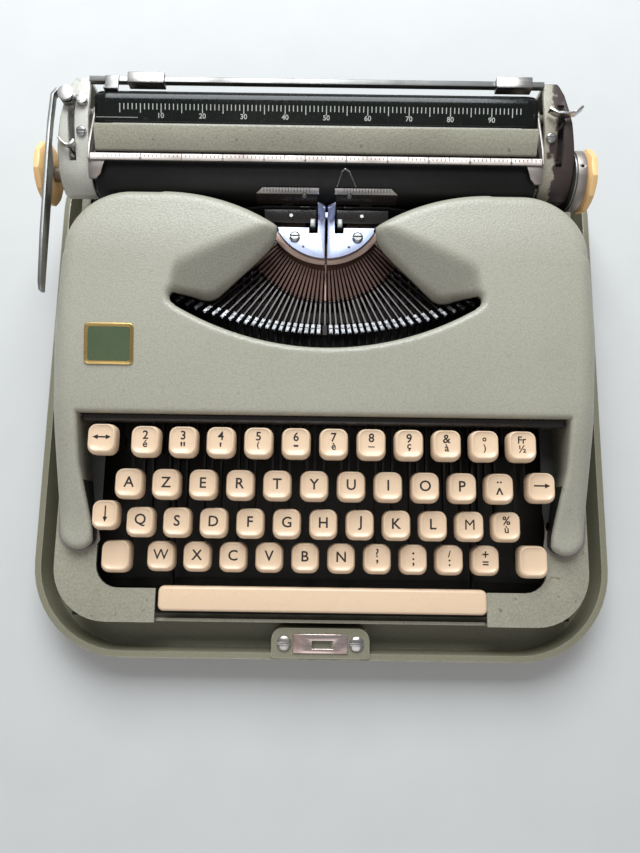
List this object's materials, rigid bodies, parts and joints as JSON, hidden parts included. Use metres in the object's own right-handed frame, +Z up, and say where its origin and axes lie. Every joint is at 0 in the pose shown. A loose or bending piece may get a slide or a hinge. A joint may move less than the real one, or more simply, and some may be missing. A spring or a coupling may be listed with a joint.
{
  "type": "portable typewriter",
  "caption": "Portable typewriter with a hinged ribbon cover, sliding carriage and four banks of keys, standing in the bottom tray of its case.",
  "frame": {"origin": "on the table under the middle of the case tray", "axes": "+X to the typist's right, +Y to the back of the machine, +Z up"},
  "size_m": [0.314, 0.307, 0.086],
  "materials": {
    "tray_paint": "olive enamel, semi-gloss, worn at the rim",
    "body_paint": "pale grey-green fine hammered enamel, worn at the edges",
    "black_rubber": "matt black rubber",
    "bright_steel": "bright steel with a fine grain",
    "dark_metal": "dark oxidised steel",
    "black_metal": "gloss black enamel",
    "grey_steel": "grey steel, slightly oiled",
    "brass_wheel": "plain brass",
    "ribbon_cloth": "inked black cloth",
    "copper_ring": "brown copper-coloured metal, oiled",
    "typebar_steel": "grey steel bars with bright types",
    "felt": "dark felt pad",
    "platen_rubber": "smooth black rubber with a slight sheen",
    "knob_plastic": "aged cream-orange plastic",
    "chrome_trim": "polished chrome, lightly worn",
    "scale_enamel": "gloss black-green enamel with white graduations",
    "key_plastic": "aged cream plastic with black legends"
  },
  "bodies": {
    "machine": {"base_pan": "tray_paint", "rubber_feet": "black_rubber", "latch_strike": "bright_steel", "latch_screws": "bright_steel", "lower_shell": "body_paint", "chassis": "dark_metal", "lever_comb": "black_metal", "lever_rod": "bright_steel", "carriage_rails": "bright_steel", "bell": "bright_steel", "card_holders": "grey_steel", "ribbon": "ribbon_cloth"},
    "cover": {"top_cover": "body_paint"},
    "carriage": {"carriage_bed": "dark_metal", "carriage_end_left": "body_paint", "carriage_end_right": "body_paint", "carriage_screws": "bright_steel", "paper_table": "body_paint", "margin_scale": "scale_enamel", "margin_rail": "grey_steel"},
    "platen": {"platen": "platen_rubber", "platen_shaft": "black_metal", "knob_left": "knob_plastic", "knob_right": "knob_plastic", "clutch_ring": "chrome_trim", "ratchet_wheel": "grey_steel"},
    "feed_rollers": {"feed_rollers": "black_rubber"},
    "paper_bail": {"paper_bail": "grey_steel"},
    "return_lever": {"return_lever": "chrome_trim"},
    "line_space_lever": {"line_space_lever": "chrome_trim"},
    "release_lever": {"release_lever": "chrome_trim"},
    "margin_stop_left": {"margin_stop_left": "grey_steel"},
    "margin_stop_right": {"margin_stop_right": "grey_steel"},
    "spool_left": {"spool_left": "grey_steel"},
    "spool_right": {"spool_right": "grey_steel"},
    "mainspring_drum": {"mainspring_drum": "grey_steel"},
    "escapement_wheel": {"escapement_wheel": "brass_wheel"},
    "ribbon_vibrator": {"ribbon_vibrator": "grey_steel"},
    "basket": {"segment": "copper_ring", "type_guide": "bright_steel", "segment_screws": "bright_steel", "typebars": "typebar_steel", "typebar_rest": "felt"},
    "typebar_h": {"typebar_h": "typebar_steel"},
    "key_h": {"key_h": "key_plastic"},
    "keys_row_1": {"caps_row_1": "key_plastic", "levers_row_1": "dark_metal"},
    "keys_row_2": {"caps_row_2": "key_plastic", "levers_row_2": "dark_metal"},
    "keys_row_3": {"caps_row_3": "key_plastic", "levers_row_3": "dark_metal"},
    "keys_row_4": {"caps_row_4": "key_plastic", "levers_row_4": "dark_metal"},
    "space_bar": {"space_bar": "key_plastic"},
    "margin_release": {"key_margin_release": "key_plastic"},
    "tabulator": {"key_tabulator": "key_plastic"},
    "shift_left": {"key_shift_left": "key_plastic"},
    "shift_right": {"key_shift_right": "key_plastic"},
    "shift_lock": {"key_shift_lock": "key_plastic"}
  },
  "joints": [
    {"name": "cover_hinge", "type": "hinge", "parent": "machine", "child": "cover", "pos_m": [0, -0.0927, 0.0352], "axis": [1, 0, 0], "range_deg": [0, 60]},
    {"name": "carriage_slide", "type": "slide", "parent": "machine", "child": "carriage", "axis": [1, 0, 0], "range_m": [-0.09, 0.1]},
    {"name": "platen_turn", "type": "hinge", "parent": "carriage", "child": "platen", "pos_m": [-0.006, 0.103, 0.0605], "axis": [1, 0, 0], "continuous": true},
    {"name": "feed_turn", "type": "hinge", "parent": "carriage", "child": "feed_rollers", "pos_m": [-0.006, 0.10938, 0.04388], "axis": [1, 0, 0], "continuous": true},
    {"name": "bail_lift", "type": "hinge", "parent": "carriage", "child": "paper_bail", "pos_m": [-0.006, 0.132, 0.072], "axis": [-1, 0, 0], "range_deg": [0, 60]},
    {"name": "return_swing", "type": "hinge", "parent": "carriage", "child": "return_lever", "pos_m": [-0.1342, 0.1336, 0.082], "axis": [0, 0, 1], "range_deg": [0, 25], "stiffness_Nm_per_rad": 0.05, "springref_deg": -8.59},
    {"name": "line_space_tilt", "type": "hinge", "parent": "carriage", "child": "line_space_lever", "pos_m": [-0.1327, 0.11, 0.066], "axis": [1, 0, 0], "range_deg": [0, 15]},
    {"name": "release_tilt", "type": "hinge", "parent": "carriage", "child": "release_lever", "pos_m": [0.1207, 0.1275, 0.064], "axis": [1, 0, 0], "range_deg": [0, 22]},
    {"name": "stop_left_slide", "type": "slide", "parent": "carriage", "child": "margin_stop_left", "axis": [1, 0, 0], "range_m": [-0.003, 0.08]},
    {"name": "stop_right_slide", "type": "slide", "parent": "carriage", "child": "margin_stop_right", "axis": [1, 0, 0], "range_m": [-0.08, 0.006]},
    {"name": "spool_left_turn", "type": "hinge", "parent": "machine", "child": "spool_left", "pos_m": [-0.098, 0.064, 0.0474], "axis": [0, 0, 1], "continuous": true},
    {"name": "spool_right_turn", "type": "hinge", "parent": "machine", "child": "spool_right", "pos_m": [0.098, 0.064, 0.0474], "axis": [0, 0, 1], "continuous": true},
    {"name": "drum_turn", "type": "hinge", "parent": "machine", "child": "mainspring_drum", "pos_m": [-0.1, 0.122, 0.0067], "axis": [0, 0, 1], "range_deg": [-430, 430]},
    {"name": "escapement_turn", "type": "hinge", "parent": "machine", "child": "escapement_wheel", "pos_m": [0, 0.124, 0.024], "axis": [0, 0, 1], "range_deg": [-1300, 1300]},
    {"name": "ribbon_lift", "type": "slide", "parent": "machine", "child": "ribbon_vibrator", "axis": [0, 0, 1], "range_m": [0, 0.0075]},
    {"name": "basket_shift", "type": "slide", "parent": "machine", "child": "basket", "axis": [0, 0, 1], "range_m": [-0.0055, 0]},
    {"name": "typebar_swing", "type": "hinge", "parent": "basket", "child": "typebar_h", "pos_m": [0, 0.05944, 0.0441], "axis": [-1, 0, 0], "range_deg": [0, 134.53]},
    {"name": "key_h_press", "type": "hinge", "parent": "machine", "child": "key_h", "pos_m": [0, 0.092, 0.028], "axis": [1, 0, 0], "range_deg": [0, 3.46], "stiffness_Nm_per_rad": 1.2, "springref_deg": -3.44},
    {"name": "row_1_press", "type": "hinge", "parent": "machine", "child": "keys_row_1", "pos_m": [0, 0.092, 0.028], "axis": [1, 0, 0], "range_deg": [0, 4.5], "stiffness_Nm_per_rad": 8, "springref_deg": -3.44},
    {"name": "row_2_press", "type": "hinge", "parent": "machine", "child": "keys_row_2", "pos_m": [0, 0.092, 0.028], "axis": [1, 0, 0], "range_deg": [0, 3.89], "stiffness_Nm_per_rad": 9, "springref_deg": -3.44},
    {"name": "row_3_press", "type": "hinge", "parent": "machine", "child": "keys_row_3", "pos_m": [0, 0.092, 0.028], "axis": [1, 0, 0], "range_deg": [0, 3.46], "stiffness_Nm_per_rad": 10, "springref_deg": -3.44},
    {"name": "row_4_press", "type": "hinge", "parent": "machine", "child": "keys_row_4", "pos_m": [0, 0.092, 0.028], "axis": [1, 0, 0], "range_deg": [0, 3.14], "stiffness_Nm_per_rad": 11, "springref_deg": -3.44},
    {"name": "space_press", "type": "hinge", "parent": "machine", "child": "space_bar", "pos_m": [0, 0.092, 0.028], "axis": [1, 0, 0], "range_deg": [0, 1.61], "stiffness_Nm_per_rad": 2.5, "springref_deg": -4.58},
    {"name": "margin_release_press", "type": "hinge", "parent": "machine", "child": "margin_release", "pos_m": [0, 0.092, 0.028], "axis": [1, 0, 0], "range_deg": [0, 4.5], "stiffness_Nm_per_rad": 0.5, "springref_deg": -5.73},
    {"name": "tabulator_press", "type": "hinge", "parent": "machine", "child": "tabulator", "pos_m": [0, 0.092, 0.028], "axis": [1, 0, 0], "range_deg": [0, 3.91], "stiffness_Nm_per_rad": 0.6, "springref_deg": -5.73},
    {"name": "shift_left_press", "type": "hinge", "parent": "machine", "child": "shift_left", "pos_m": [0, 0.092, 0.028], "axis": [1, 0, 0], "range_deg": [0, 3.14], "stiffness_Nm_per_rad": 3, "springref_deg": -5.73},
    {"name": "shift_right_press", "type": "hinge", "parent": "machine", "child": "shift_right", "pos_m": [0, 0.092, 0.028], "axis": [1, 0, 0], "range_deg": [0, 3.14]},
    {"name": "shift_lock_press", "type": "slide", "parent": "shift_left", "child": "shift_lock", "axis": [0, 0, -1], "range_m": [0, 0.003], "stiffness_N_per_m": 150, "springref_m": -0.001}
  ],
  "couplings": [
    {"joint": "feed_turn", "follows": "platen_turn", "ratio": -4.5312},
    {"joint": "spool_right_turn", "follows": "spool_left_turn", "ratio": 1},
    {"joint": "drum_turn", "follows": "carriage_slide", "rad_per_m": -68.966},
    {"joint": "escapement_turn", "follows": "carriage_slide", "rad_per_m": -204.08},
    {"joint": "ribbon_lift", "follows": "key_h_press", "m_per_rad": 0.124},
    {"joint": "typebar_swing", "follows": "key_h_press", "ratio": 38.84},
    {"joint": "basket_shift", "follows": "shift_left_press", "m_per_rad": -0.10016},
    {"joint": "shift_right_press", "follows": "shift_left_press", "ratio": 1}
  ]
}
